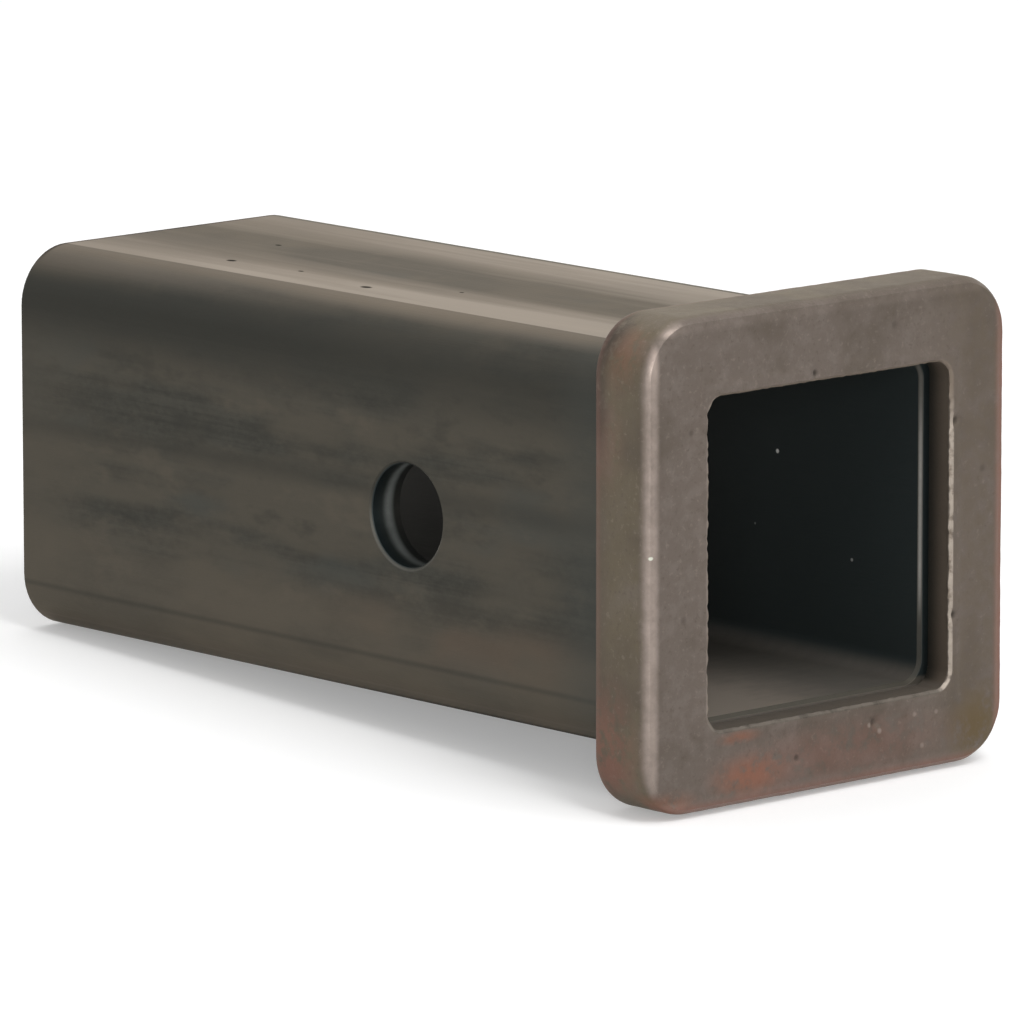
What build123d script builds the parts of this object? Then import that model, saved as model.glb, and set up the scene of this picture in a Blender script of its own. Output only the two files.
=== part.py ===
from build123d import *
from build123d.topology import SkipClean
import os

# Weld-on receiver tube: a square steel tube with a forged collar welded round its mouth.
# Millimetres. X runs across, along the pin hole, Y from the mouth to the rear, and Z up.
# The origin is where the pin hole's axis crosses the tube's centre line.

# Square tube
tube_side = 63.5
tube_wall = 6.1
tube_corner_radius = 9.5
tube_length = 152.4
tube_end_break = 0.6

# Pin hole through both side walls, measured from the mouth face
pin_hole_diameter = 16.67
pin_hole_setback = 63.5
pin_hole_break = 0.4

# Collar: a lip in front of the tube's end, and a socket that takes the end in
lip_depth = 6.35
socket_depth = 6.35
socket_clearance = 0.3
collar_wall = 6.85
collar_corner_radius = 9.5
collar_front_round = 2.6
collar_rear_round = 1.6

# Mouth of the collar, a little wider than the tube's bore
mouth_relief = 0.55
mouth_corner_radius = 3.0
mouth_front_break = 0.4
mouth_rear_break = 1.3

# Fillet weld in the corner between the collar's rear face and the tube
weld_edge_margin = 0.75
weld_crown = 0.5

# Bare stretch of the tube between the weld's toe and the flats that brackets are welded to
weld_land_margin = 2.0

# Sizes that follow from those above
bore_side = tube_side - 2 * tube_wall
bore_corner_radius = max(tube_corner_radius - tube_wall, tube_end_break)
mouth_side = bore_side + 2 * mouth_relief
socket_side = tube_side + 2 * socket_clearance
socket_corner_radius = tube_corner_radius + socket_clearance
collar_side = socket_side + 2 * collar_wall
collar_depth = lip_depth + socket_depth
weld_leg = (collar_side - tube_side) / 2 - collar_rear_round - weld_edge_margin

# Stations along Y, from the mouth to the rear
mouth_y = -pin_hole_setback
tube_front_y = mouth_y + lip_depth
collar_rear_y = mouth_y + collar_depth
flats_front_y = collar_rear_y + weld_leg + weld_land_margin
tube_rear_y = tube_front_y + tube_length


def across(y):
    """Return the plane across the tube at y, seen from the mouth with X to the right and Z up."""
    return Plane.XZ.offset(-y)


def tube_section(y):
    """Return the tube's hollow section on the plane at y."""
    with BuildSketch(across(y), mode=Mode.PRIVATE) as section:
        RectangleRounded(tube_side, tube_side, tube_corner_radius)
        RectangleRounded(bore_side, bore_side, bore_corner_radius, mode=Mode.SUBTRACT)
    return section.sketch


# Nose of the tube, the stretch that the collar and its weld cover
with BuildPart() as tube_nose:
    extrude(tube_section(tube_front_y), amount=tube_front_y - flats_front_y)
    chamfer(tube_nose.edges().group_by(Axis.Y)[0], length=tube_end_break)

# Tube, with the flats behind its nose kept as faces of their own for brackets
with BuildPart() as receiver_tube:
    extrude(tube_section(flats_front_y), amount=flats_front_y - tube_rear_y)
    chamfer(receiver_tube.edges().group_by(Axis.Y)[-1], length=tube_end_break)
    with BuildSketch(Plane.YZ):
        Circle(pin_hole_diameter / 2)
    extrude(amount=tube_side, both=True, mode=Mode.SUBTRACT)
    pin_hole_rims = receiver_tube.edges().filter_by(GeomType.CIRCLE).sort_by(Axis.X)
    chamfer([pin_hole_rims[0], pin_hole_rims[-1]], length=pin_hole_break)
    with SkipClean():
        add(tube_nose.part, clean=False)

# Collar, with its mouth cut through and its socket cut from the rear
with BuildPart() as collar:
    with BuildSketch(across(mouth_y)):
        RectangleRounded(collar_side, collar_side, collar_corner_radius)
    extrude(amount=-collar_depth)
    fillet(collar.edges().group_by(Axis.Y)[0], radius=collar_front_round)
    fillet(collar.edges().group_by(Axis.Y)[-1], radius=collar_rear_round)
    with BuildSketch(across(mouth_y)):
        RectangleRounded(mouth_side, mouth_side, mouth_corner_radius)
    extrude(amount=-lip_depth, mode=Mode.SUBTRACT)
    with BuildSketch(across(tube_front_y)):
        RectangleRounded(socket_side, socket_side, socket_corner_radius)
    extrude(amount=-socket_depth, mode=Mode.SUBTRACT)
    front_face = collar.faces().filter_by(Axis.Y).sort_by(Axis.Y)[0]
    chamfer(front_face.inner_wires()[0].edges(), length=mouth_front_break)
    lip_face = collar.faces().filter_by(Axis.Y).sort_by(Axis.Y)[1]
    chamfer(lip_face.inner_wires()[0].edges(), length=mouth_rear_break)

# Weld bead, swept round a quarter of the tube and mirrored twice
with BuildPart() as collar_weld:
    with BuildLine(across(collar_rear_y)) as quarter_path:
        top_run = Line((0, tube_side / 2), (tube_side / 2 - tube_corner_radius, tube_side / 2))
        corner = JernArc(top_run @ 1, top_run % 1, tube_corner_radius, -90)
        Line(corner @ 1, (tube_side / 2, 0))
    with BuildSketch(Plane.YZ):
        with BuildLine():
            root = Vector(collar_rear_y, tube_side / 2)
            collar_toe = root + Vector(0, weld_leg)
            tube_toe = root + Vector(weld_leg, 0)
            crown = (collar_toe + tube_toe) / 2 + Vector(1, 1).normalized() * weld_crown
            Polyline(tube_toe, root, collar_toe)
            ThreePointArc(collar_toe, crown, tube_toe)
        make_face()
    sweep(path=quarter_path.wire())
    mirror(about=Plane.YZ)
    mirror(about=Plane.XY)

receiver_tube.part.label = "receiver_tube"
collar.part.label = "collar"
collar_weld.part.label = "collar_weld"

os.makedirs("parts", exist_ok=True)
export_step(receiver_tube.part, "parts/receiver_tube.step")
export_step(collar.part, "parts/collar.step")
export_step(collar_weld.part, "parts/collar_weld.step")
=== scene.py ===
"""Looks of a weld-on receiver tube: mill scale, a forged collar, its weld bead and a pale studio."""
import logging
import math
from dataclasses import dataclass
from enum import Enum
from functools import reduce
from typing import Callable, Sequence, Union

import bmesh
import bpy
from mathutils import Matrix, Vector, noise


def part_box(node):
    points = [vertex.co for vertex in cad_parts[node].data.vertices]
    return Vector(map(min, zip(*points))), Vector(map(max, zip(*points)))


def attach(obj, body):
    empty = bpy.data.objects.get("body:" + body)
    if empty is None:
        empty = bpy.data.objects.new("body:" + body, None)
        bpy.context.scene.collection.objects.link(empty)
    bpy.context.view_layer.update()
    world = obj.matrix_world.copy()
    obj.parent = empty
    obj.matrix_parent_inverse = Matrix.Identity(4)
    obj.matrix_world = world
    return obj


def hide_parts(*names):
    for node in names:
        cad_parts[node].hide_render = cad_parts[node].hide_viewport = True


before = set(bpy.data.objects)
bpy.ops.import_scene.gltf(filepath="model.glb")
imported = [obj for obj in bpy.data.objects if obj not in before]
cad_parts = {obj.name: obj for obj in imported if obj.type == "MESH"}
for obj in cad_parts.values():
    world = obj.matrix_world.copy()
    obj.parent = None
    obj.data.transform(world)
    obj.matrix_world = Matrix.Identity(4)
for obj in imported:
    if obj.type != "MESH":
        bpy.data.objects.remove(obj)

Colour = tuple[float, float, float]
Point = tuple[float, float, float]
Number = Union[int, float]

log = logging.getLogger("receiver_tube")

MM = 0.001
BODY = "root"
TUBE_CORNER = 9.5
# flat black for sooty marks and painted shade
SOOT_AND_SHADE_BLACK: Colour = (0.006, 0.006, 0.006)


class Slot(Enum):
    """The record's material slots."""

    MILL_SCALE = "mill_scale_steel"
    FORGED = "forged_steel"
    WELD = "weld_metal"


class Node(Enum):
    """The frame's nodes."""

    TUBE = "receiver_tube"
    COLLAR = "collar"
    WELD = "collar_weld"


class Val:
    """A value socket that takes part in plain arithmetic by adding Math nodes."""

    def __init__(self, bench: "NodeBench", socket: bpy.types.NodeSocket) -> None:
        """Wrap a socket.

        Args:
            bench: The bench that owns the node tree.
            socket: The output socket to wrap.
        """
        self.bench = bench
        self.socket = socket

    def __add__(self, other: "Operand") -> "Val":
        """Return self + other."""
        return self.bench.math("ADD", self, other)

    def __radd__(self, other: "Operand") -> "Val":
        """Return other + self."""
        return self.bench.math("ADD", other, self)

    def __sub__(self, other: "Operand") -> "Val":
        """Return self - other."""
        return self.bench.math("SUBTRACT", self, other)

    def __rsub__(self, other: "Operand") -> "Val":
        """Return other - self."""
        return self.bench.math("SUBTRACT", other, self)

    def __mul__(self, other: "Operand") -> "Val":
        """Return self * other."""
        return self.bench.math("MULTIPLY", self, other)

    def __rmul__(self, other: "Operand") -> "Val":
        """Return other * self."""
        return self.bench.math("MULTIPLY", other, self)

    def __abs__(self) -> "Val":
        """Return the size of the value."""
        return self.bench.math("ABSOLUTE", self)

    def high(self, other: "Operand") -> "Val":
        """Return the larger of two values."""
        return self.bench.math("MAXIMUM", self, other)

    def low(self, other: "Operand") -> "Val":
        """Return the smaller of two values."""
        return self.bench.math("MINIMUM", self, other)

    def rise(self, start: Number, end: Number) -> "Val":
        """Return a smooth step.

        Args:
            start: Where the step leaves 0.
            end: Where it reaches 1; below start, the step falls instead.

        Returns:
            The step, from 0 to 1.
        """
        settings = {"interpolation_type": "SMOOTHSTEP", "clamp": True}
        values = {"Value": self, "From Min": min(start, end), "From Max": max(start, end),
                  "To Min": float(end < start), "To Max": float(end >= start)}
        return Val(self.bench, self.bench.node("ShaderNodeMapRange", settings, values).outputs[0])

    def band(self, centre: "Operand", half: Number, soft: Number) -> "Val":
        """Return a soft stripe.

        Args:
            centre: The value at the stripe's middle.
            half: Half of the stripe's width.
            soft: How far its edges fade, each way.

        Returns:
            1 inside the stripe, fading to 0 outside.
        """
        return abs(self - centre).rise(half + soft, max(half - soft, 0.0))


Operand = Union[Val, int, float]
SocketValue = Union[Val, bpy.types.NodeSocket, Number, Sequence[float]]


class NodeBench:
    """The node tree of a material or world, and the few ways that nodes are added to it."""

    def __init__(self, owner: Union[bpy.types.Material, bpy.types.World]) -> None:
        """Take over the owner's node tree and empty it."""
        owner.use_nodes = True
        self.owner = owner
        self.tree = owner.node_tree
        self.tree.nodes.clear()

    def node(self, kind: str, settings: dict | None = None,
             values: dict[str | int, SocketValue] | None = None) -> bpy.types.Node:
        """Add one node.

        Args:
            kind: The node's type.
            settings: Its properties, which are set first.
            values: A value or link for each named or numbered input socket.

        Returns:
            The new node.
        """
        made = self.tree.nodes.new(kind)
        for key, setting in (settings or {}).items():
            setattr(made, key, setting)
        for key, value in (values or {}).items():
            socket = made.inputs[key]
            if isinstance(value, Val):
                self.tree.links.new(value.socket, socket)
            elif isinstance(value, bpy.types.NodeSocket):
                self.tree.links.new(value, socket)
            elif isinstance(value, (int, float)):
                socket.default_value = value
            elif len(value) < len(socket.default_value):
                socket.default_value = (*value, 1.0)
            else:
                socket.default_value = value
        return made

    def math(self, operation: str, *operands: Operand) -> Val:
        """Add a Math node and return its result."""
        made = self.node("ShaderNodeMath", {"operation": operation}, dict(enumerate(operands)))
        return Val(self, made.outputs[0])

    def blend(self, factor: Operand, low: SocketValue, high: SocketValue) -> bpy.types.NodeSocket:
        """Mix two colours.

        Args:
            factor: 0 for the first colour and 1 for the second.
            low: The first colour.
            high: The second colour.

        Returns:
            The mixed colour.
        """
        settings = {"data_type": "RGBA", "clamp_factor": True}
        return self.node("ShaderNodeMix", settings, {0: factor, 6: low, 7: high}).outputs[2]


class MaterialBench(NodeBench):
    """The bench of a new material, with the part's own coordinates in millimetres."""

    def __init__(self, name: str) -> None:
        """Start a material of that name."""
        super().__init__(bpy.data.materials.new(name))
        values = {0: self.node("ShaderNodeTexCoord").outputs["Object"], "Scale": 1.0 / MM}
        self.place = self.node("ShaderNodeVectorMath", {"operation": "SCALE"}, values).outputs[0]
        parts = self.node("ShaderNodeSeparateXYZ", None, {0: self.place})
        self.axes = tuple(Val(self, socket) for socket in parts.outputs)

    def noise(self, size: Point, detail: float = 3.0, rough: float = 0.5,
              shift: Point = (0.0, 0.0, 0.0)) -> Val:
        """Add a noise texture.

        Args:
            size: The size of a patch along X, Y and Z, in millimetres.
            detail: The number of finer octaves.
            rough: How strong the finer octaves are.
            shift: An offset that tells one noise from another.

        Returns:
            Values around 0.5.
        """
        scale = tuple(1.0 / part for part in size)
        values = {"Vector": self.place, "Scale": scale, "Location": shift}
        mapped = self.node("ShaderNodeMapping", None, values)
        values = {"Vector": mapped.outputs[0], "Scale": 1.0, "Detail": detail, "Roughness": rough}
        return Val(self, self.node("ShaderNodeTexNoise", None, values).outputs[0])

    def spot(self, centre: Point, reach: Point, soft: float = 0.5) -> Val:
        """Return a soft blob.

        Args:
            centre: The blob's middle, in millimetres.
            reach: Its half sizes along X, Y and Z.
            soft: The share of its reach over which it fades.

        Returns:
            1 in the blob, fading to 0 at its reach.
        """
        away = self.place
        for operation, values in (("SUBTRACT", centre), ("DIVIDE", reach)):
            step = self.node("ShaderNodeVectorMath", {"operation": operation}, {0: away, 1: values})
            away = step.outputs[0]
        length = self.node("ShaderNodeVectorMath", {"operation": "LENGTH"}, {0: away})
        return Val(self, length.outputs["Value"]).rise(1.0, 1.0 - soft)

    def lay(self, under: SocketValue, *coats: tuple[Operand, SocketValue]) -> SocketValue:
        """Lay coats over a colour.

        Args:
            under: The colour so far.
            coats: How far each coat covers, and its colour, from the lowest up.

        Returns:
            The colour that shows.
        """
        for cover, colour in coats:
            under = self.blend(cover, under, colour)
        return under

    def finish(self, surface: "Surface") -> bpy.types.Material:
        """Close the tree with a Principled shader.

        Args:
            surface: What the shader's sockets hold.

        Returns:
            The finished material.
        """
        relief = {"Strength": 1.0, "Distance": surface.depth, "Height": surface.height}
        bump = self.node("ShaderNodeBump", None, relief)
        values = {"Base Color": surface.colour, "Roughness": surface.rough, "Metallic": surface.metal,
                  "Specular Tint": surface.edge_tint, "Normal": bump.outputs[0]}
        shader = self.node("ShaderNodeBsdfPrincipled", None, values)
        # a flat black laid over the shader, for sooty marks and painted shade
        if surface.soot_and_painted_shade is not None:
            black = self.node("ShaderNodeBsdfDiffuse", None, {"Color": SOOT_AND_SHADE_BLACK})
            mix = {0: surface.soot_and_painted_shade, 1: shader.outputs[0], 2: black.outputs[0]}
            shader = self.node("ShaderNodeMixShader", None, mix)
        self.node("ShaderNodeOutputMaterial", None, {"Surface": shader.outputs[0]})
        return self.owner


@dataclass(frozen=True)
class Surface:
    """What a Principled shader is given, with the relief's depth in metres, and where a flat black covers it
    for sooty marks and painted shade.
    """

    colour: SocketValue
    rough: SocketValue
    metal: SocketValue
    height: Val
    depth: float
    edge_tint: Colour
    soot_and_painted_shade: Val | None = None


@dataclass(frozen=True)
class Stations:
    """Where the CAD nodes begin and end, in millimetres, measured once."""

    tube_half: float
    tube_front: float
    tube_rear: float
    collar_half: float
    collar_front: float
    collar_rear: float
    weld_half: float
    weld_toe: float

    @classmethod
    def measure(cls) -> "Stations":
        """Return the stations of the loaded nodes."""
        tube_low, tube_high = (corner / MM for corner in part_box(Node.TUBE.value))
        collar_low, collar_high = (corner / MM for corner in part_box(Node.COLLAR.value))
        weld_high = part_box(Node.WELD.value)[1] / MM
        return cls(tube_high.x, tube_low.y, tube_high.y, collar_high.x, collar_low.y, collar_high.y,
                   weld_high.x, weld_high.y)


@dataclass(frozen=True)
class Pit:
    """A small pit in the tube's top flat, in millimetres."""

    x: float
    y: float
    size: float


PITS = (
    Pit(-14.5, 61.8, 0.85), Pit(-16.6, 26.4, 0.95), Pit(1.8, 68.9, 0.55),
    Pit(-13.5, 45.8, 0.5), Pit(-9.0, 12.0, 0.4),
)


@dataclass(frozen=True)
class Grain:
    """A pale grain on the bore's wall, in millimetres, and how brightly it shows."""

    y: float
    z: float
    size: float
    strength: float


GRAINS = (Grain(-24.7, 6.7, 0.45, 1.0), Grain(-41.8, -8.6, 0.35, 0.35), Grain(-19.6, -5.7, 0.25, 0.20))


@dataclass(frozen=True)
class MillScale:
    """Rolled scale on the tube: lengthwise streaks and bands, a painted highlight along the top, painted
    shade far into the bore, at the hole's far end and along the near bottom edge, a dusty floor, a punched
    hole and cut ends.

    Lengths are in millimetres, in the part's frame.
    """

    half: float
    wall: float
    corner: float
    front_y: float
    rear_y: float
    weld_y: float
    hole_radius: float
    dark: Colour = (0.026, 0.028, 0.025)
    grey: Colour = (0.054, 0.054, 0.046)
    brown: Colour = (0.073, 0.066, 0.052)
    tan: Colour = (0.096, 0.083, 0.064)
    blue: Colour = (0.046, 0.053, 0.050)
    rust: Colour = (0.102, 0.074, 0.054)
    # colour of the painted highlight on the top flat and the near upper bend
    painted_sheen: Colour = (0.150, 0.127, 0.102)
    inside: Colour = (0.018, 0.027, 0.029)
    dust: Colour = (0.230, 0.198, 0.166)
    cut: Colour = (0.260, 0.250, 0.232)
    rim: Colour = (0.110, 0.110, 0.100)
    fracture: Colour = (0.200, 0.216, 0.208)
    # painted shade far inside the bore
    painted_deep_shade: Colour = (0.006, 0.009, 0.010)
    # painted shade on the hole's far wall
    painted_hole_shade: Colour = (0.010, 0.012, 0.012)
    grain: Colour = (0.900, 0.900, 0.860)
    edge_tint: Colour = (0.96, 0.84, 0.71)
    relief_depth: float = 0.00005
    least_rough: float = 0.285

    def material(self) -> bpy.types.Material:
        """Return the tube's material."""
        bench = MaterialBench("mill_scale")
        x, y, z = bench.axes
        streak = bench.noise((2.4, 140.0, 2.4), 4.0, 0.55)
        fine = bench.noise((0.6, 40.0, 0.6), 3.0, 0.6, (2.0, 4.0, 6.0))
        patch = bench.noise((18.0, 36.0, 10.0), 3.0, 0.5, (3.1, 7.7, 1.3))
        hue = bench.noise((14.0, 30.0, 12.0), 2.0, 0.5, (5.5, 1.5, 8.5))
        grain = bench.noise((0.35, 1.6, 0.35), 2.0, 0.6, (9.0, 2.0, 5.0))
        speck = bench.noise((0.9, 1.6, 0.9), 4.0, 0.7, (6.0, 3.0, 1.0))
        blotch = bench.noise((5.0, 9.0, 5.0), 3.0, 0.6, (7.0, 9.0, 4.0))
        smudge = bench.noise((9.0, 13.0, 6.0), 4.0, 0.6, (4.0, 8.0, 2.0))
        tone = 0.35 * streak + 0.15 * fine + 0.25 * speck + 0.25 * blotch
        colour = bench.lay(
            self.dark,
            (tone.rise(0.36, 0.62), self.grey),
            (patch.rise(0.40, 0.62) * 0.8, self.brown),
            (hue.rise(0.54, 0.70) * 0.5, self.blue),
            (smudge.rise(0.54, 0.72) * 0.40, self.tan),
            (smudge.rise(0.46, 0.28) * 0.45, self.dark),
        )
        colour = self._side(bench, colour, patch, hue)
        flat = abs(x).rise(self.half - self.corner + 0.4, self.half - self.corner - 0.2)
        top = flat * z.rise(self.half - 1.0, self.half - 0.5)
        painted_sheen = self._top_painted_sheen(bench) * (1.0 - 0.28 * y.rise(45.0, 85.0))
        near = x.rise(-20.0, -24.0)
        rearward = y.rise(5.0, 75.0)
        # painted highlight on the near upper bend, stronger towards the rear
        painted_shoulder_highlight = near * z.rise(self.half - 4.0, self.half - 0.6) * rearward * 0.6
        painted_brow_highlight = near * z.rise(self.half - 2.0, self.half - 0.3) * 0.6
        heat = y.rise(self.weld_y + 15.0, self.weld_y + 1.0) * (0.25 + 0.5 * hue)
        # painted highlight: the top flat and the near upper bend are lightened where they shine
        colour = bench.lay(
            colour,
            (top * (0.15 + 0.85 * painted_sheen), self.painted_sheen),
            (painted_shoulder_highlight.high(painted_brow_highlight), self.painted_sheen),
            (heat, self.blue),
        )
        bore = abs(x).high(abs(z)).rise(self.half - 0.4 * self.wall, self.half - 0.7 * self.wall)
        colour = self._bore(bench, colour, bore, patch)
        colour = self._hole(bench, colour, streak)
        colour = self._ends(bench, colour, tone)
        forward = y.rise(60.0, -40.0)
        upper = z.rise(self.half - 0.8 * self.corner, self.half - 0.5 * self.corner)
        under_flat = z.rise(self.half - 0.2, self.half - 1.4)
        bend = (1.0 - flat) * upper * (1.0 - bore) * (1.0 - 0.7 * x.rise(-4.0, 4.0)) * under_flat
        shine = top * (painted_sheen * (0.28 + 0.14 * forward) - 0.05)
        rough = (0.44 + 0.14 * tone + bore * 0.10 + bend * 0.26 - shine).high(self.least_rough)
        metal = 0.74 - bore * 0.50 - bend * 0.30
        relief = (0.5 * grain + 0.5 * fine) * (1.0 - 0.9 * top * painted_sheen)
        soot_and_painted_shade = self._pits(bench).high(self._grime_and_painted_shade(bench))
        return bench.finish(Surface(colour, rough, metal, relief, self.relief_depth, self.edge_tint, soot_and_painted_shade))

    def _side(self, bench: MaterialBench, colour: SocketValue, patch: Val, hue: Val) -> SocketValue:
        """Lay the lengthwise bands on the side that faces -X, with painted light along its upper bend towards
        the rear.

        Args:
            bench: The material's bench.
            colour: The colour so far.
            patch: Broad noise.
            hue: Another broad noise.

        Returns:
            The colour with the bands.
        """
        x, y, z = bench.axes
        side = x.rise(-self.half + 6.0, -self.half + 2.0)
        rearward = y.rise(-25.0, 45.0)
        dark_band = z.band(24.0, 5.6, 5.0) * (0.70 + 0.30 * rearward)
        thin = z.band(3.6, 1.6, 1.6) * patch.rise(0.30, 0.60) * 0.45
        tint = z.band(-18.5, 3.4, 3.0) * y.band(-14.0, 26.0, 12.0) * hue.rise(0.36, 0.58) * 0.45
        return bench.lay(
            colour,
            (side * z.rise(-8.0, -20.0) * (0.25 + 0.55 * patch), self.tan),
            (side * y.rise(70.0, 94.0) * 0.45, self.brown),
            (side * dark_band, self.dark),
            # painted light: a lighter tan along the upper bend towards the rear
            (side * z.rise(26.5, 29.5) * y.rise(55.0, 92.0) * 0.45, self.tan),
            (side * thin, self.dark),
            (side * tint, self.rust),
            (side * z.band(-23.6, 0.3, 0.5) * 0.45, self.dark),
        )

    @staticmethod
    def _top_painted_sheen(bench: MaterialBench) -> Val:
        """Return where the top flat shines, both through less roughness and through a painted highlight
        colour.

        Args:
            bench: The material's bench.

        Returns:
            1 along the near band and the far edge, broken up by streaks, and 0 between.
        """
        x, _, _ = bench.axes
        streak = bench.noise((5.5, 110.0, 60.0), 3.0, 0.5, (11.0, 5.0, 2.0)).rise(0.34, 0.66)
        bands = x.band(-19.0, 8.0, 6.0).high(x.rise(4.0, 15.0) * 0.85)
        return (0.84 * bands + 0.30 * streak - 0.12).high(0.0).low(1.0)

    def _pits(self, bench: MaterialBench) -> Val:
        """Return where small dark pits mark the top flat."""
        spots = [bench.spot((pit.x, pit.y, self.half), (pit.size, 1.5 * pit.size, 1.5)) for pit in PITS]
        return reduce(lambda one, other: one.high(other), spots) * 0.9

    def _grime_and_painted_shade(self, bench: MaterialBench) -> Val:
        """Return where painted shade darkens the near bottom edge and sooty dirt darkens the top's rear edge.
        """
        x, y, z = bench.axes
        # painted shade under the near bottom edge; the rear edge's darkening is sooty dirt
        painted_underside_shade = x.rise(4.0, -8.0) * z.rise(-self.half + 2.0, -self.half + 0.5) * y.rise(70.0, -10.0) * 0.7
        rear = z.rise(self.half - 3.0, self.half - 0.5) * y.band(self.rear_y - 0.9, 0.3, 0.5) * 0.55
        return painted_underside_shade.high(rear)

    def _bore(self, bench: MaterialBench, colour: SocketValue, bore: Val, patch: Val) -> SocketValue:
        """Darken the bore, with painted shade growing further from the mouth, dust along its floor and a few
        pale grains on its wall.

        Args:
            bench: The material's bench.
            colour: The colour so far.
            bore: 1 inside the tube.
            patch: Broad noise.

        Returns:
            The colour with the bore.
        """
        x, y, z = bench.axes
        inner_half = self.half - self.wall
        drift = bench.noise((5.0, 2.2, 5.0), 4.0, 0.6, (1.0, 2.0, 9.0))
        spread = (0.40 + 0.5 * patch + 0.5 * drift) * (0.40 + 0.75 * x.rise(18.0, -14.0))
        floor = z.rise(-inner_half + 3.0, -inner_half + 0.3) * spread * 1.12
        # painted shade: the bore darkens further from the mouth
        inner = bench.blend(y.rise(15.0, 40.0) * 0.75, self.inside, self.painted_deep_shade)
        inner = bench.blend(floor, inner, self.dust)
        for grain in GRAINS:
            spot = bench.spot((inner_half, grain.y, grain.z), (0.5, grain.size, grain.size))
            inner = bench.blend(spot * grain.strength, inner, self.grain)
        return bench.blend(bore, colour, inner)

    def _hole(self, bench: MaterialBench, colour: SocketValue, streak: Val) -> SocketValue:
        """Give the pin hole a burnished outer half, a torn inner half, painted shade at its far end and a rim
        that is lighter below and darker above.

        Args:
            bench: The material's bench.
            colour: The colour so far.
            streak: Streak noise.

        Returns:
            The colour with the hole.
        """
        x, y, z = bench.axes
        away = bench.math("SQRT", y * y + z * z)
        depth = self.half - abs(x)
        within = away.rise(self.hole_radius + 0.25, self.hole_radius + 0.05)
        wall = within * depth.rise(self.wall + 0.4, self.wall)
        worn = depth.rise(0.1 * self.wall, 0.6 * self.wall)
        colour = bench.blend(wall, colour, bench.blend(worn, self.inside, self.blue))
        torn = depth.band(0.58 * self.wall, 0.08 * self.wall, 0.16 * self.wall) * (0.30 + 1.2 * streak)
        # painted shade on the far part of the hole's wall
        painted_inmost_shade = depth.rise(0.70 * self.wall, 0.84 * self.wall)
        colour = bench.lay(
            colour,
            (wall * painted_inmost_shade, self.painted_hole_shade),
            (wall * torn, self.fracture),
        )
        rim = away.band(self.hole_radius + 0.30, 0.2, 0.15) * depth.rise(0.5, 0.35)
        below = z.rise(4.0, -5.0)
        return bench.blend(rim * (0.30 + 0.35 * below), colour, bench.blend(below, self.dark, self.rim))

    def _ends(self, bench: MaterialBench, colour: SocketValue, tone: Val) -> SocketValue:
        """Bare the cut rear end and the front edge's bevel, which is dusty along the floor and whose bare
        line fades into painted shade towards the top.

        Args:
            bench: The material's bench.
            colour: The colour so far.
            tone: Streak noise.

        Returns:
            The colour with the ends.
        """
        x, y, z = bench.axes
        rear = y.rise(self.rear_y - 0.5, self.rear_y - 0.2)
        reach = abs(x).high(abs(z))
        inner_half = self.half - self.wall
        ahead = y.rise(self.front_y + 0.75, self.front_y + 0.55)
        bevel = ahead * reach.rise(inner_half + 0.75, inner_half + 0.55)
        # painted shade: the bevel's bare line fades towards the top, under the collar's top lip
        middle = z.rise(-18.0, -9.0) * (1.0 - 0.75 * z.rise(9.0, 22.0))
        clean = x.rise(inner_half - 1.0, inner_half - 0.2) * middle
        line = y.band(self.front_y + 0.32, 0.18, 0.14)
        face = y.rise(self.front_y + 0.1, self.front_y + 0.02)
        low = z.rise(-inner_half + 0.8, -inner_half)
        return bench.lay(
            colour,
            (rear * (0.35 + 0.7 * tone), self.cut),
            (bevel, self.dark),
            (bevel * line * (0.30 + 0.9 * tone) * clean, self.cut),
            (face, self.inside),
            (face * low * 0.6, self.dust),
            (bevel * low * 0.6, self.brown),
        )


@dataclass(frozen=True)
class Dent:
    """A small pit in the collar's front face, in millimetres; a negative depth is a bump."""

    x: float
    z: float
    size: float
    depth: float


DENTS = (
    Dent(27.4, 16.4, 1.0, 0.85), Dent(27.2, -14.6, 1.0, 0.70), Dent(9.9, -29.5, 1.0, 0.60),
    Dent(8.7, -29.8, 0.7, -0.30), Dent(10.9, -31.0, 0.8, -0.30), Dent(20.3, -34.6, 0.8, -0.22),
    Dent(18.6, -29.4, 0.7, -0.22), Dent(23.4, -29.6, 0.7, -0.22), Dent(-6.7, -32.9, 1.1, 0.45),
    Dent(-3.3, 27.4, 0.9, 0.60), Dent(33.5, 8.0, 1.2, 0.20), Dent(-31.0, -8.0, 1.1, 0.18),
    Dent(-29.5, 21.0, 0.9, 0.22), Dent(14.0, 33.0, 1.2, 0.20),
)


@dataclass(frozen=True)
class Stain:
    """A soft patch of colour on the collar, in millimetres, and how strongly it covers."""

    centre: Point
    reach: Point
    colour: Colour
    strength: float


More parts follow.
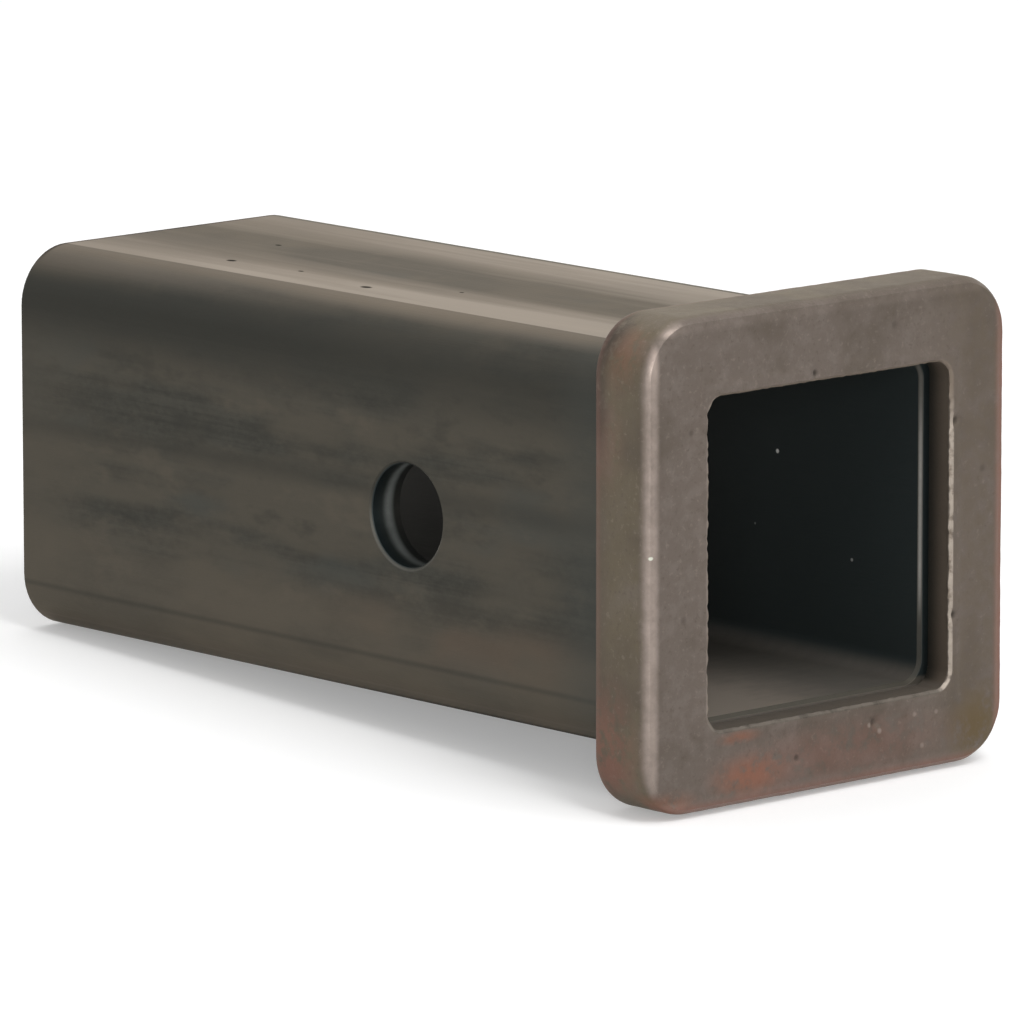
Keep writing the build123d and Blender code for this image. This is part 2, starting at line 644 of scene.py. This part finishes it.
@dataclass(frozen=True)
class ForgedSkin:
    """Forged skin on the collar: warm grey, finely grained, worn at its edges, with rust in patches, a
    painted highlight along its near front edge and upper corner, and painted shade by the tube and inside the
    mouth.

    Lengths are in millimetres, in the part's frame.
    """

    half: float
    mouth: float
    mouth_corner: float
    front_round: float
    front_y: float
    rear_y: float
    front: Colour = (0.126, 0.102, 0.086)
    pale: Colour = (0.158, 0.131, 0.114)
    side: Colour = (0.120, 0.098, 0.066)
    shade: Colour = (0.085, 0.068, 0.052)
    # pale wear colour, also laid on the near front edge as a painted highlight
    worn: Colour = (0.320, 0.262, 0.228)
    tan: Colour = (0.108, 0.085, 0.062)
    dust: Colour = (0.180, 0.154, 0.128)
    rust: Colour = (0.280, 0.098, 0.050)
    red: Colour = (0.208, 0.090, 0.066)
    olive: Colour = (0.112, 0.080, 0.040)
    # painted shade inside the mouth
    painted_throat_shade: Colour = (0.030, 0.028, 0.023)
    # black for painted shade where the collar meets the tube
    soot_and_painted_shade: Colour = (0.024, 0.020, 0.016)
    wall: Colour = (0.170, 0.135, 0.105)
    burr: Colour = (0.360, 0.310, 0.262)
    # colour of the painted highlight at the near upper corner
    painted_corner_highlight: Colour = (0.620, 0.500, 0.440)
    pit: Colour = (0.030, 0.024, 0.019)
    bead: Colour = (0.330, 0.270, 0.235)
    # colour of a small painted highlight on the near edge
    painted_glint: Colour = (0.800, 0.830, 0.700)
    edge_tint: Colour = (1.0, 0.93, 0.85)
    relief_depth: float = 0.00010

    def material(self) -> bpy.types.Material:
        """Return the collar's material."""
        bench = MaterialBench("forged_skin")
        x, y, z = bench.axes
        cloud = bench.noise((15.0, 15.0, 15.0), 3.0, 0.55)
        mottle = bench.noise((2.2, 2.2, 2.2), 4.0, 0.62, (4.0, 1.0, 7.0))
        grain = bench.noise((0.4, 0.4, 0.4), 3.0, 0.65, (8.0, 3.0, 2.0))
        fleck = bench.noise((1.0, 1.0, 1.0), 3.0, 0.7, (2.0, 7.0, 5.0))
        reach = abs(x).high(abs(z))
        outside = y.rise(self.front_y + 0.8, self.front_y + 2.8)
        skin = bench.blend(outside, self.front, self.side)
        skin = bench.lay(
            skin,
            (mottle.rise(0.42, 0.68) * (0.7 - 0.55 * outside), self.pale),
            (cloud.rise(0.52, 0.36) * 0.6, self.shade),
            (cloud.rise(0.52, 0.66) * outside * 0.35, self.pale),
            (fleck.rise(0.56, 0.72) * 0.55, self.shade),
            (fleck.rise(0.44, 0.28) * 0.18, self.worn),
            (x.rise(14.0, 34.0) * mottle.rise(0.30, 0.66) * 0.8, self.tan),
        )
        rounded = reach.rise(self.half - 1.15 * self.front_round, self.half - 0.62 * self.front_round)
        ahead = y.rise(self.front_y + 0.85 * self.front_round, self.front_y + 0.20 * self.front_round)
        edge = rounded * ahead
        near = x.rise(-self.half + 9.0, -self.half + 3.0)
        # slight wear on every rounded front edge; on the near side it is mostly a painted highlight
        skin = bench.blend(edge * (0.12 + 0.66 * near) * (0.20 + 1.5 * mottle), skin, self.worn)
        # painted highlight at the near upper corner
        upper_corner = (-self.half + 3.2, self.front_y + 0.5, self.half - 4.5)
        painted_corner_highlight = bench.spot(upper_corner, (3.6, 2.0, 6.5), 1.0)
        skin = bench.blend(painted_corner_highlight * edge * 0.6, skin, self.painted_corner_highlight)
        # painted shade on the near side by the rear edge, where the collar meets the tube
        painted_shade_behind = y.rise(self.rear_y - 5.0, self.rear_y - 0.8) * near
        skin = bench.blend(painted_shade_behind * 0.6, skin, self.shade)
        skin = self._rust(bench, skin, mottle, cloud)
        skin = self._throat(bench, skin, mottle)
        skin = self._specks(bench, skin)
        rough = 0.46 + 0.16 * mottle - 0.20 * edge
        metal = 0.66 - 0.2 * cloud
        relief = 0.5 * grain + 0.5 * mottle
        return bench.finish(Surface(skin, rough, metal, relief, self.relief_depth, self.edge_tint))

    def _rust(self, bench: MaterialBench, skin: SocketValue, mottle: Val, cloud: Val) -> SocketValue:
        """Stain the corners and edges.

        Args:
            bench: The material's bench.
            skin: The colour so far.
            mottle: Fine noise.
            cloud: Broad noise.

        Returns:
            The colour with its stains.
        """
        x, y, z = bench.axes
        broken = mottle.rise(0.30, 0.55)
        stains = (
            Stain((-17.0, self.front_y, -34.2), (11.0, 5.0, 4.6), self.rust, 0.62),
            Stain((-19.5, self.front_y, -27.8), (6.0, 2.0, 1.6), self.rust, 0.50),
            Stain((-37.5, self.front_y + 6.5, 34.0), (5.0, 6.0, 9.0), self.rust, 0.25),
            Stain((-34.0, self.front_y + 2.0, -37.0), (9.0, 6.0, 3.5), self.rust, 0.45),
            Stain((-38.5, self.rear_y - 3.5, -30.0), (4.0, 9.0, 16.0), self.red, 0.60),
            Stain((-38.5, self.rear_y - 2.0, 20.0), (4.0, 7.0, 12.0), self.red, 0.25),
            Stain((32.5, self.front_y, -33.0), (8.5, 4.0, 8.5), self.olive, 1.0),
            Stain((2.0, self.front_y, -33.0), (34.0, 4.0, 7.5), self.red, 0.34),
            # painted shade at the near top rear, where the collar meets the tube
            Stain((-36.0, self.rear_y - 0.5, 35.0), (7.0, 6.5, 10.0), self.soot_and_painted_shade, 0.85),
            Stain((-38.7, self.rear_y - 0.8, 25.0), (4.0, 4.0, 11.0), self.soot_and_painted_shade, 0.60),
        )
        for stain in stains:
            blob = bench.spot(stain.centre, stain.reach, 0.9)
            skin = bench.blend(blob * broken * stain.strength, skin, stain.colour)
        right = x.rise(self.half - 3.4, self.half - 1.2) * y.rise(self.front_y + 4.5, self.front_y + 1.5)
        rear = y.rise(self.rear_y - 2.4, self.rear_y - 1.2)
        under = z.rise(-self.half + 2.4, -self.half + 0.8) * y.rise(self.front_y + 6.0, self.front_y + 1.5)
        seams = right.high(rear * 0.3).high(under * 0.8) * (0.15 + 0.5 * cloud + 0.5 * mottle)
        return bench.blend(seams, skin, self.red)

    def _specks(self, bench: MaterialBench, skin: SocketValue) -> SocketValue:
        """Darken the front's pits and brighten its small beads, with a small painted highlight on the near
        edge.

        Args:
            bench: The material's bench.
            skin: The colour so far.

        Returns:
            The colour with its specks.
        """
        for dent in DENTS:
            reach = 0.8 * dent.size
            spot = bench.spot((dent.x, self.front_y, dent.z), (reach, 1.6, reach), 0.7)
            tone = self.pit if dent.depth > 0.0 else self.bead
            skin = bench.blend(spot * min(0.85, 1.8 * abs(dent.depth)), skin, tone)
        # painted highlight: a small bright dot on the near rounded edge
        painted_glint = bench.spot((-self.half + 1.1, self.front_y + 0.5, 2.5), (0.6, 0.6, 0.38))
        return bench.blend(painted_glint * 0.7, skin, self.painted_glint)

    def _throat(self, bench: MaterialBench, skin: SocketValue, mottle: Val) -> SocketValue:
        """Paint shade on the mouth's walls, darker further in and along the bottom edge, and bare the burr
        along its edge.

        Args:
            bench: The material's bench.
            skin: The colour so far.
            mottle: Fine noise.

        Returns:
            The colour with the mouth.
        """
        x, y, z = bench.axes
        square = self.mouth - self.mouth_corner
        over_x, over_z = (abs(x) - square).high(0.0), (abs(z) - square).high(0.0)
        past = bench.math("SQRT", over_x * over_x + over_z * over_z) - self.mouth_corner
        # painted shade: the mouth's walls darken further in
        inner = bench.blend(y.rise(self.front_y + 1.0, self.front_y + 5.2), self.wall, self.painted_throat_shade)
        inner = bench.blend(z.rise(-self.mouth + 1.2, -self.mouth + 0.3) * 0.8, inner, self.dust)
        back = y.rise(self.front_y + 4.0, self.front_y + 4.5) * past.rise(3.0, 2.0)
        skin = bench.blend(past.rise(0.40, 0.20).high(back), skin, inner)
        lip = past.rise(0.62, 0.34) * y.rise(self.front_y + 0.8, self.front_y + 0.45)
        right = x.rise(square, self.mouth - 0.8) * z.rise(22.0, 15.0)
        left = x.rise(-square, -self.mouth + 0.8)
        bottom = z.rise(-square, -self.mouth + 0.8)
        sides = right.high(left * 0.30).high(bottom * 0.14)
        # painted shade along the mouth's bottom edge
        skin = bench.blend(lip * bottom * 0.6, skin, self.painted_throat_shade)
        bare = lip * (0.06 + 0.94 * sides) * mottle.rise(0.32, 0.54)
        return bench.blend(bare, skin, self.burr)


@dataclass(frozen=True)
class WeldMetal:
    """Weld bead: grey ripples with brown and blue heat tints."""

    grey: Colour = (0.165, 0.155, 0.142)
    brown: Colour = (0.115, 0.080, 0.050)
    blue: Colour = (0.072, 0.084, 0.100)
    edge_tint: Colour = (1.0, 0.95, 0.90)
    relief_depth: float = 0.00004

    def material(self) -> bpy.types.Material:
        """Return the bead's material."""
        bench = MaterialBench("weld_metal")
        cloud = bench.noise((6.0, 6.0, 6.0), 3.0, 0.55)
        tint = bench.noise((9.0, 3.0, 9.0), 2.0, 0.5, (2.0, 6.0, 4.0))
        grain = bench.noise((0.4, 0.4, 0.4), 2.0, 0.6, (1.0, 9.0, 3.0))
        colour = bench.blend(cloud.rise(0.42, 0.64) * 0.75, self.grey, self.brown)
        colour = bench.blend(tint.rise(0.52, 0.68) * 0.7, colour, self.blue)
        rough = 0.34 + 0.2 * cloud
        metal = 0.85
        return bench.finish(Surface(colour, rough, metal, grain, self.relief_depth, self.edge_tint))


@dataclass(frozen=True)
class Rib:
    """One rounded-square loop of a ring, in millimetres, and the rows between it and the next loop."""

    half: float
    radius: float
    y: float
    rows: int = 0

    def towards(self, other: "Rib", share: float) -> "Rib":
        """Return the loop that lies a share of the way to another one."""
        half = self.half + (other.half - self.half) * share
        radius = self.radius + (other.radius - self.radius) * share
        return Rib(half, radius, self.y + (other.y - self.y) * share)

    def fit(self, place: Vector, old: "Rib") -> Vector:
        """Carry a point of another loop over to this one.

        Args:
            place: A point of the other loop, in millimetres.
            old: The other loop.

        Returns:
            The same point of this loop.
        """
        return Vector((self._slide(place.x, old), self.y, self._slide(place.z, old)))

    def _slide(self, value: float, old: "Rib") -> float:
        """Scale a coordinate's straight share and its corner's share on their own."""
        straight, before = self.half - self.radius, old.half - old.radius
        if abs(value) <= before:
            return value * straight / before
        return math.copysign(straight + (abs(value) - before) * self.radius / old.radius, value)


@dataclass(frozen=True)
class RingLoft:
    """A closed ring, drawn out loop by loop from a rounded square until it meets itself."""

    name: str
    side_cuts: int
    corner_steps: int

    def build(self, ribs: Sequence[Rib]) -> bpy.types.Object:
        """Make the ring.

        Args:
            ribs: The loops, in order round the ring's section.

        Returns:
            The ring's object, at the origin, with normals outward.
        """
        loops = [rib.towards(after, row / (rib.rows + 1))
                 for rib, after in zip(ribs, [*ribs[1:], ribs[0]]) for row in range(rib.rows + 1)]
        ring = self._first_loop(loops[0])
        for before, after in zip(loops, [*loops[1:], loops[0]]):
            bpy.ops.mesh.extrude_edges_indiv()
            self._fit_selected(ring, before, after)
        bpy.ops.mesh.select_all(action="SELECT")
        bpy.ops.mesh.remove_doubles(threshold=0.002 * MM)
        bpy.ops.mesh.normals_make_consistent(inside=False)
        bpy.ops.object.mode_set(mode="OBJECT")
        return ring

    def _first_loop(self, rib: Rib) -> bpy.types.Object:
        """Make an upright square, round its corners, divide its sides and keep only its edges.

        Args:
            rib: The loop's sizes.

        Returns:
            The object, left in edit mode with its edges selected.
        """
        bpy.ops.object.select_all(action="DESELECT")
        bpy.ops.mesh.primitive_plane_add(size=2.0 * rib.half * MM, location=(0.0, rib.y * MM, 0.0),
                                         rotation=(math.radians(90.0), 0.0, 0.0))
        ring = bpy.context.object
        ring.name = ring.data.name = self.name
        bpy.ops.object.transform_apply(location=True, rotation=True, scale=True)
        bpy.ops.object.mode_set(mode="EDIT")
        bpy.ops.mesh.select_all(action="SELECT")
        bpy.ops.mesh.bevel(offset=rib.radius * MM, segments=self.corner_steps, affect="VERTICES")
        bpy.ops.mesh.select_mode(type="EDGE")
        bpy.ops.mesh.select_all(action="SELECT")
        bpy.ops.mesh.delete(type="ONLY_FACE")
        mesh = bmesh.from_edit_mesh(ring.data)
        for edge in mesh.edges:
            edge.select_set(edge.calc_length() > 0.5 * rib.half * MM)
        mesh.select_flush(False)
        bmesh.update_edit_mesh(ring.data)
        bpy.ops.mesh.subdivide(number_cuts=self.side_cuts)
        bpy.ops.mesh.select_all(action="SELECT")
        return ring

    @staticmethod
    def _fit_selected(ring: bpy.types.Object, before: Rib, after: Rib) -> None:
        """Move the loop that was just drawn out to its own size and station.

        Args:
            ring: The object in edit mode.
            before: The loop it was drawn from.
            after: The loop it becomes.
        """
        mesh = bmesh.from_edit_mesh(ring.data)
        for vertex in mesh.verts:
            if vertex.select:
                vertex.co = after.fit(vertex.co / MM, before) * MM
        bmesh.update_edit_mesh(ring.data)


def arc_ribs(start: Rib, centre: tuple[float, float], radius: float, angles: tuple[float, float],
             steps: int) -> list[Rib]:
    """Return loops along a rounded edge whose corners stay parallel to a first loop's.

    Args:
        start: A loop whose corner radius the others follow.
        centre: The arc's centre, as half width and station along Y.
        radius: The arc's radius.
        angles: The first and last angle from outward, towards +Y, in degrees.
        steps: The number of steps between the first and the last loop.

    Returns:
        The loops, both ends included.
    """
    ribs = []
    for step in range(steps + 1):
        angle = math.radians(angles[0] + (angles[1] - angles[0]) * step / steps)
        half = centre[0] + radius * math.cos(angle)
        ribs.append(Rib(half, start.radius - (start.half - half), centre[1] + radius * math.sin(angle)))
    return ribs


def beyond_square(place: Vector, square: float) -> tuple[float, Vector]:
    """Measure how far a place lies outside a square about the Y axis.

    Args:
        place: The place, in millimetres.
        square: Half of the square's width.

    Returns:
        The distance from the square, and the direction away from it.
    """
    over = Vector((max(abs(place.x) - square, 0.0), 0.0, max(abs(place.z) - square, 0.0)))
    outward = Vector((math.copysign(over.x, place.x), 0.0, math.copysign(over.z, place.z)))
    return over.length, outward.normalized()


def smooth_noise(point: Vector, size: float) -> float:
    """Return noise from -1 to 1 at a point, with patches of about that size."""
    return noise.noise(point / size)


def shape_surface(piece: bpy.types.Object, move: Callable[[Vector, Vector], Vector]) -> None:
    """Move every vertex of a piece.

    Args:
        piece: The piece to shape.
        move: Gives the step for a place and normal, in millimetres.
    """
    piece.data.update()
    spots = [(vertex.co / MM, vertex.normal.copy()) for vertex in piece.data.vertices]
    for vertex, (place, normal) in zip(piece.data.vertices, spots):
        vertex.co = (place + move(place, normal)) * MM
    piece.data.update()


def smooth(piece: bpy.types.Object, angle: float) -> None:
    """Shade a piece smooth, apart from edges sharper than an angle in degrees."""
    bpy.ops.object.select_all(action="DESELECT")
    piece.select_set(True)
    bpy.context.view_layer.objects.active = piece
    bpy.ops.object.shade_smooth_by_angle(angle=math.radians(angle))


def paint(piece: bpy.types.Object, material: bpy.types.Material) -> None:
    """Put one material on every slot of a piece."""
    if not piece.material_slots:
        piece.data.materials.append(material)
    for held in piece.material_slots:
        held.material = material


def set_in_frame(piece: bpy.types.Object, node: Node) -> None:
    """Fix a piece to the body in place of a node, whose CAD part is hidden."""
    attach(piece, BODY)
    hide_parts(node.value)


@dataclass(frozen=True)
class ReceiverTube:
    """The square tube, kept as the CAD node and given its finish. Lengths are in millimetres."""

    at: Stations
    wall: float = 6.1
    corner: float = TUBE_CORNER
    hole_radius: float = 8.335

    def dress(self) -> bpy.types.Object:
        """Give the tube its mill scale.

        Returns:
            The tube's object.
        """
        finish = MillScale(self.at.tube_half, self.wall, self.corner, self.at.tube_front, self.at.tube_rear,
                           self.at.weld_toe, self.hole_radius)
        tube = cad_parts[Node.TUBE.value]
        paint(tube, finish.material())
        return tube


@dataclass(frozen=True)
class Collar:
    """The forged ring round the mouth, with an uneven skin and a burr. Lengths are in millimetres."""

    at: Stations
    mouth_half: float = 26.2
    mouth_corner: float = 3.0
    corner: float = 9.5
    front_round: float = 2.6
    rear_round: float = 1.6
    front_break: float = 0.4
    rear_break: float = 1.3
    clearance: float = 0.3
    tube_corner: float = TUBE_CORNER
    unevenness: float = 0.10
    burr_height: float = 0.42
    burr_reach: float = 0.85
    burr_coarse: float = 3.4
    burr_fine: float = 1.0
    border: float = 0.9
    border_corner: float = 0.5
    border_depth: float = 1.4
    front_sink: float = 0.30
    wave_size: float = 6.0
    ripple_size: float = 1.7
    sharp_angle: float = 38.0

    def build(self) -> bpy.types.Object:
        """Make the collar's ring, with its relief.

        Returns:
            The collar's object.
        """
        ring = RingLoft("forged_collar", side_cuts=119, corner_steps=18).build(self._ribs())
        shape_surface(ring, self._relief)
        smooth(ring, self.sharp_angle)
        finish = ForgedSkin(self.at.collar_half, self.mouth_half, self.mouth_corner, self.front_round,
                            self.at.collar_front, self.at.collar_rear)
        paint(ring, finish.material())
        set_in_frame(ring, Node.COLLAR)
        return ring

    def _ribs(self) -> list[Rib]:
        """Return the loops of the ring's section, from the outer side forward and round through the mouth."""
        half, front, rear = self.at.collar_half, self.at.collar_front, self.at.collar_rear
        socket = self.at.tube_half + self.clearance
        socket_corner = self.tube_corner + self.clearance
        lip_back = self.at.tube_front
        outer = Rib(half, self.corner, rear - self.rear_round, rows=9)
        mouth = Rib(self.mouth_half, self.mouth_corner, front + self.front_break)
        front_arc = arc_ribs(outer, (half - self.front_round, front + self.front_round), self.front_round,
                             (0.0, -90.0), steps=7)
        front_edge = Rib(self.mouth_half + self.front_break, self.mouth_corner + self.front_break, front)
        face_end = Rib(front_edge.half + self.border, front_edge.radius + self.border_corner, front, rows=3)
        front_arc[-1] = Rib(front_arc[-1].half, front_arc[-1].radius, front, rows=17)
        rear_edge = Rib(self.mouth_half + self.rear_break, self.mouth_corner + self.rear_break, lip_back,
                        rows=3)
        socket_floor = Rib(socket, socket_corner, lip_back, rows=3)
        socket_rim = Rib(socket, socket_corner, rear, rows=5)
        rear_arc = arc_ribs(outer, (half - self.rear_round, rear - self.rear_round), self.rear_round,
                            (90.0, 0.0), steps=5)
        return [
            outer, *front_arc, face_end,
            Rib(front_edge.half, front_edge.radius, front, rows=2),
            Rib(mouth.half, mouth.radius, mouth.y, rows=4),
            Rib(mouth.half, mouth.radius, front + self.border_depth, rows=4),
            Rib(mouth.half, mouth.radius, lip_back - self.rear_break, rows=2),
            rear_edge, socket_floor, socket_rim, *rear_arc[:-1],
        ]

    def _relief(self, place: Vector, normal: Vector) -> Vector:
        """Return the step that makes the forged skin uneven.

        Args:
            place: A point on the smooth ring.
            normal: The surface's direction there.

        Returns:
            The step, never out of the ring's own box.
        """
        front = self.at.collar_front
        reach = max(abs(place.x), abs(place.z))
        skin = min(1.0, max(0.0, (reach - self.mouth_half - 1.2) / 1.5))
        ahead = place.y < self.at.collar_rear - 0.5 * self.rear_round
        wave = 0.5 + 0.5 * smooth_noise(place, self.wave_size)
        ripple = 0.5 + 0.5 * smooth_noise(place + Vector((40.0, 9.0, 3.0)), self.ripple_size)
        depth = skin * ahead * self.unevenness * (0.9 * wave + 0.7 * ripple)
        if place.y < front + 0.5:
            dents = sum(self._dent(dent, place) for dent in DENTS)
            depth = max(0.0, depth + skin * self.front_sink + dents)
        return -normal * depth + self._burr(place)

    @staticmethod
    def _dent(dent: Dent, place: Vector) -> float:
        """Return how far a dent presses in at a place."""
        away = math.hypot(place.x - dent.x, place.z - dent.z) / dent.size
        return dent.depth * math.exp(-1.6 * away * away)

    def _burr(self, place: Vector) -> Vector:
        """Return the step that rolls a ragged burr into the mouth along its front edge.

        Args:
            place: A point on the smooth ring.

        Returns:
            The step, towards the mouth's middle.
        """
        square = self.mouth_half - self.mouth_corner
        beyond, outward = beyond_square(place, square)
        past = beyond - self.mouth_corner
        away = math.hypot(past - 0.15, place.y - self.at.collar_front - 0.25) / self.burr_reach
        if away >= 1.0:
            return Vector()
        along = Vector((place.x, 0.0, place.z))
        coarse = smooth_noise(along + Vector((7.0, 0.0, 2.0)), self.burr_coarse)
        ragged = 0.35 + 0.75 * smooth_noise(along, self.burr_fine) + 0.55 * coarse
        share = 0.4 + (0.6 if outward.x > 0.0 else 0.7) * outward.x**2
        return -outward * self.burr_height * share * ragged * (1.0 - away * away) ** 2


@dataclass(frozen=True)
class CollarWeld:
    """The fillet bead between the tube and the collar, laid in overlapping ripples. In millimetres."""

    at: Stations
    tube_corner: float = TUBE_CORNER
    crown: float = 0.35
    pitch: float = 2.1
    ripple: float = 0.34
    bow: float = 1.3
    toe_wander: float = 0.35
    drift_size: float = 5.0
    lift_size: float = 3.0
    wander_size: float = 2.6
    face_steps: int = 12
    sharp_angle: float = 60.0

    def build(self) -> bpy.types.Object:
        """Make the bead's ring, with its ripples.

        Returns:
            The bead's object.
        """
        bead = RingLoft("weld_bead", side_cuts=159, corner_steps=34).build(self._ribs())
        shape_surface(bead, self._ripples)
        smooth(bead, self.sharp_angle)
        paint(bead, WeldMetal().material())
        set_in_frame(bead, Node.WELD)
        return bead

    def _corner(self) -> tuple[float, float, float]:
        """Return the bead's root, as half width and station along Y, and its leg."""
        return self.at.tube_half, self.at.collar_rear, self.at.weld_half - self.at.tube_half

    def _ribs(self) -> list[Rib]:
        """Return the loops of the bead's section: the root, then the face from collar to tube."""
        tube, collar_rear, leg = self._corner()
        ribs = [Rib(tube, self.tube_corner, collar_rear)]
        for step in range(self.face_steps + 1):
            share = step / self.face_steps
            swell = 4.0 * self.crown * share * (1.0 - share) / math.sqrt(2.0)
            rise = leg * (1.0 - share) + swell
            ribs.append(Rib(tube + rise, self.tube_corner + rise, collar_rear + leg * share + swell))
        return ribs

    def _ripples(self, place: Vector, normal: Vector) -> Vector:
        """Return the step that raises the bead's ripples.

        Args:
            place: A point on the smooth bead.
            normal: The surface's direction there, which the ripples don't need.

        Returns:
            The step, along the bead's face.
        """
        tube, collar_rear, leg = self._corner()
        square = tube - self.tube_corner
        beyond, outward = beyond_square(place, square)
        rise = beyond - self.tube_corner
        run = place.y - collar_rear
        if rise < 0.02 * leg and run < 0.02 * leg:
            return Vector()
        face = (outward + Vector((0.0, 1.0, 0.0))).normalized()
        share = min(1.0, max(0.0, run / max(run + rise, 1e-6)))
        middle = math.sin(math.pi * share)
        walked = self._walked(place, square) + 0.5 * smooth_noise(place, self.drift_size)
        phase = (walked + self.bow * (1.0 - middle)) / self.pitch
        scale = 1.0 - (phase - math.floor(phase))
        height = scale**0.7 - 0.45 + 0.35 * smooth_noise(place, self.lift_size)
        lift = self.ripple * middle**0.6 * height
        shifted = place + Vector((3.0, 8.0, 1.0))
        wander = self.toe_wander * (1.0 - middle) * smooth_noise(shifted, self.wander_size)
        along = outward if share < 0.5 else Vector((0.0, 1.0, 0.0))
        return face * lift + along * wander

    def _walked(self, place: Vector, square: float) -> float:
        """Return how far along the bead's path a place lies, from the top's middle, clockwise.

        Args:
            place: A point on the bead.
            square: Half the side of the square of the corners' centres.

        Returns:
            The length along the path.
        """
        x, z = place.x, place.z
        walked = 0.0
        quarter = 2.0 * square + 0.5 * math.pi * self.tube_corner
        while not (z > 0.0 and x >= 0.0):
            x, z = -z, x
            walked += quarter
        if x <= square:
            return walked + x
        if z >= square:
            return walked + square + self.tube_corner * math.atan2(x - square, z - square)
        return walked + quarter - z


@dataclass(frozen=True)
class Softbox:
    """A square area lamp aimed at the part, by direction in degrees and lengths in metres."""

    name: str
    azimuth: float
    elevation: float
    distance: float
    side: float
    radiance: float

    def hang(self) -> None:
        """Hang the lamp."""
        lamp = bpy.data.lights.new(self.name, "AREA")
        lamp.shape = "SQUARE"
        lamp.size = self.side
        lamp.energy = self.radiance * math.pi * self.side**2
        holder = bpy.data.objects.new(self.name, lamp)
        bpy.context.scene.collection.objects.link(holder)
        back = direction(self.azimuth, self.elevation)
        holder.location = back * self.distance
        holder.rotation_euler = back.to_track_quat("Z", "Y").to_euler()


@dataclass(frozen=True)
class Studio:
    """The pale floor, the soft light and the camera, by degrees and metres."""

    azimuth: float = -42.333
    elevation: float = 10.339
    roll: float = -0.064
    distance: float = 1.56368
    lens: float = 355.7
    sensor: float = 36.0
    clip_start: float = 0.1
    clip_end: float = 50.0
    aim: Point = (-0.036186, -0.029206, 0.005384)
    floor_side: float = 8.0
    floor_colour: Colour = (0.80, 0.80, 0.80)
    floor_glow: float = 0.30
    ambient: float = 0.45
    softboxes: tuple[Softbox, ...] = (
        Softbox("key", 8.0, 50.0, 1.8, 1.3, 2.2),
        Softbox("overhead", 160.0, 78.0, 1.8, 1.6, 1.2),
        Softbox("card", -44.0, 11.0, 2.2, 0.5, 11.0),
        Softbox("corner", -10.0, 57.0, 1.8, 0.5, 7.0),
    )

    def build(self) -> None:
        """Make the floor, the lamps, the world and the camera."""
        bpy.context.scene.view_settings.view_transform = "Standard"
        self._floor()
        self._world()
        for softbox in self.softboxes:
            softbox.hang()
        self._camera()

    @staticmethod
    def _seen(bench: NodeBench) -> Val:
        """Return 1 for rays from the camera and for those that gloss or clear surfaces send on."""
        path = bench.node("ShaderNodeLightPath").outputs
        kinds = ("Camera", "Glossy", "Transmission")
        camera, gloss, clear = (Val(bench, path[f"Is {kind} Ray"]) for kind in kinds)
        return camera.high(gloss).high(clear)

    def _floor(self) -> None:
        """Lay the floor under the collar's rear edge and the tube's rear end, where the part rests."""
        collar_low, collar_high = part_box(Node.COLLAR.value)
        tube_low, tube_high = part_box(Node.TUBE.value)
        slope = math.atan2(tube_low.z - collar_low.z, tube_high.y - collar_high.y)
        bpy.ops.object.select_all(action="DESELECT")
        bpy.ops.mesh.primitive_plane_add(size=self.floor_side, location=(0.0, collar_high.y, collar_low.z),
                                         rotation=(slope, 0.0, 0.0))
        floor = bpy.context.object
        floor.name = "floor"
        bench = NodeBench(bpy.data.materials.new("pale_floor"))
        matt = bench.node("ShaderNodeBsdfDiffuse", None, {"Color": self.floor_colour})
        glow = bench.node("ShaderNodeEmission", None, {"Strength": self._seen(bench) * self.floor_glow})
        both = bench.node("ShaderNodeAddShader", None, {0: matt.outputs[0], 1: glow.outputs[0]})
        bench.node("ShaderNodeOutputMaterial", None, {"Surface": both.outputs[0]})
        paint(floor, bench.owner)

    def _world(self) -> None:
        """Surround the part with soft white, which the camera and gloss see at full strength."""
        world = bpy.data.worlds.new("studio")
        bpy.context.scene.world = world
        bench = NodeBench(world)
        strength = self.ambient + self._seen(bench) * (1.0 - self.ambient)
        glow = bench.node("ShaderNodeBackground", None, {"Color": (1.0, 1.0, 1.0), "Strength": strength})
        bench.node("ShaderNodeOutputWorld", None, {"Surface": glow.outputs[0]})

    def _camera(self) -> None:
        """Set the camera at the photograph's viewing angle."""
        lens = bpy.data.cameras.new("camera")
        lens.lens = self.lens
        lens.sensor_width = self.sensor
        lens.clip_start = self.clip_start
        lens.clip_end = self.clip_end
        holder = bpy.data.objects.new("camera", lens)
        bpy.context.scene.collection.objects.link(holder)
        back = direction(self.azimuth, self.elevation)
        turn = back.to_track_quat("Z", "Y").to_matrix().to_4x4()
        tilt = Matrix.Rotation(math.radians(self.roll), 4, "Z")
        holder.matrix_world = Matrix.Translation(Vector(self.aim) + back * self.distance) @ turn @ tilt
        bpy.context.scene.camera = holder


def direction(azimuth: float, elevation: float) -> Vector:
    """Return the unit vector from the part towards an azimuth and elevation in degrees."""
    a, e = math.radians(azimuth), math.radians(elevation)
    return Vector((math.sin(a) * math.cos(e), -math.cos(a) * math.cos(e), math.sin(e)))


def report(piece: bpy.types.Object) -> None:
    """Log a finished piece and its size in faces."""
    log.info("%s: %d faces", piece.name, len(piece.data.polygons))


def main() -> None:
    """Make and dress the pieces and set the studio round them."""
    logging.basicConfig(level=logging.INFO, format="%(name)s: %(message)s")
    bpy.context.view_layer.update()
    stations = Stations.measure()
    report(ReceiverTube(stations).dress())
    report(Collar(stations).build())
    report(CollarWeld(stations).build())
    Studio().build()


if __name__ == "__main__":
    main()
